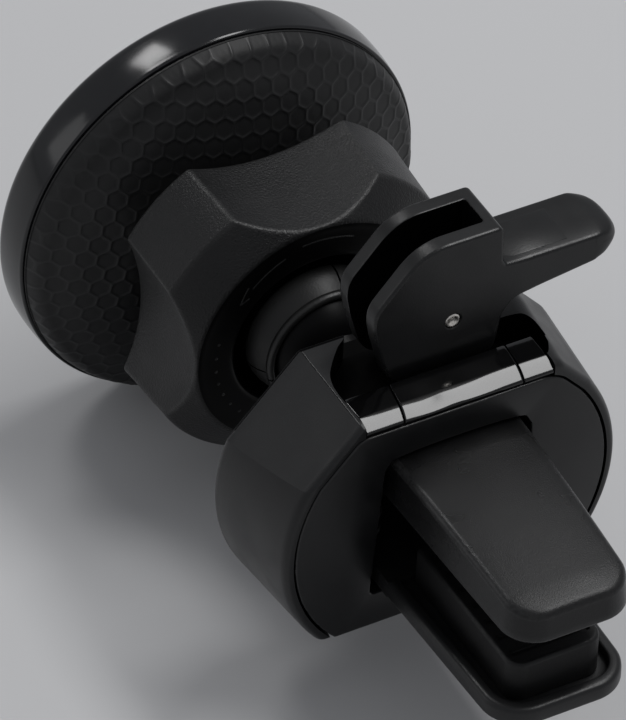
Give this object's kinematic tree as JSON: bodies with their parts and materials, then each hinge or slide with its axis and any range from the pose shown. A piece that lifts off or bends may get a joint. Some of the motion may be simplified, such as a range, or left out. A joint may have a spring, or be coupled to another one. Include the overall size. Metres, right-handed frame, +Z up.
{
  "type": "car phone mount",
  "caption": "Magnetic air-vent phone mount: round magnet disc on a ball joint with a lock nut, and a clip whose cam lever closes two vent jaws.",
  "frame": {"origin": "on the clip's front plate, on the clip's centre plane, level with the gap between the vent jaws", "axes": "+Y out of the clip along the jaws, into the vent; +Z up, the way the lower jaw closes; the phone disc faces -Y"},
  "size_m": [0.056, 0.0962, 0.0626],
  "materials": {
    "satin_black": "fine satin moulding",
    "soft_touch_black": "grained soft-touch moulding",
    "honeycomb_black": "hexagon-textured moulding",
    "gloss_black": "polished",
    "rubber_black": "soft matte",
    "inner_black": "as moulded",
    "steel": "turned",
    "magnet": "nickel plated"
  },
  "bodies": {
    "clip": {"rear_housing": "satin_black", "front_housing": "satin_black", "front_plate": "satin_black", "top_trim": "gloss_black", "trim_bridge": "gloss_black", "housing_screws": "steel", "ball_stud": "gloss_black", "stud_screw": "steel", "upper_jaw_core": "inner_black", "upper_jaw_sleeve": "soft_touch_black", "return_springs": "steel"},
    "ball_seat": {"ball_seat_pad": "rubber_black"},
    "ball_washer": {"spring_washer": "steel"},
    "head": {"phone_pad": "rubber_black", "front_shell": "gloss_black", "back_cover": "honeycomb_black", "magnet_holder": "inner_black", "ring_magnets": "magnet", "yoke_ring": "steel", "socket_collet": "satin_black", "head_screws": "steel"},
    "nut": {"lock_nut": "soft_touch_black"},
    "jaw_slider": {"lower_jaw": "satin_black", "lower_jaw_pad": "rubber_black", "draw_bar": "satin_black", "bar_screw": "steel", "pivot_pin": "steel"},
    "lever": {"cam_lever": "satin_black"}
  },
  "joints": [
    {"name": "head_pan", "type": "hinge", "parent": "clip", "child": "ball_seat", "pos_m": [0, -0.035, 0.00032], "axis": [0, 0, 1], "range_deg": [-15, 15]},
    {"name": "head_tilt", "type": "hinge", "parent": "ball_seat", "child": "ball_washer", "pos_m": [0, -0.035, 0.00032], "axis": [1, 0, 0], "range_deg": [-15, 15]},
    {"name": "head_spin", "type": "hinge", "parent": "ball_washer", "child": "head", "pos_m": [0, -0.035, 0.00032], "axis": [0, 1, 0], "continuous": true},
    {"name": "nut_turn", "type": "hinge", "parent": "head", "child": "nut", "pos_m": [0, -0.042, 0.00032], "axis": [0, 1, 0], "range_deg": [0, 180]},
    {"name": "jaw_slide", "type": "slide", "parent": "clip", "child": "jaw_slider", "axis": [0, 0, 1], "range_m": [0, 0.0038], "deforming": ["return_springs"]},
    {"name": "lever_flip", "type": "hinge", "parent": "jaw_slider", "child": "lever", "pos_m": [-0.00266, -0.01125, 0.02265], "axis": [0, 1, 0], "range_deg": [0, 132]}
  ],
  "couplings": [
    {"joint": "jaw_slide", "follows": "lever_flip", "m_per_rad": 0.0016407}
  ]
}
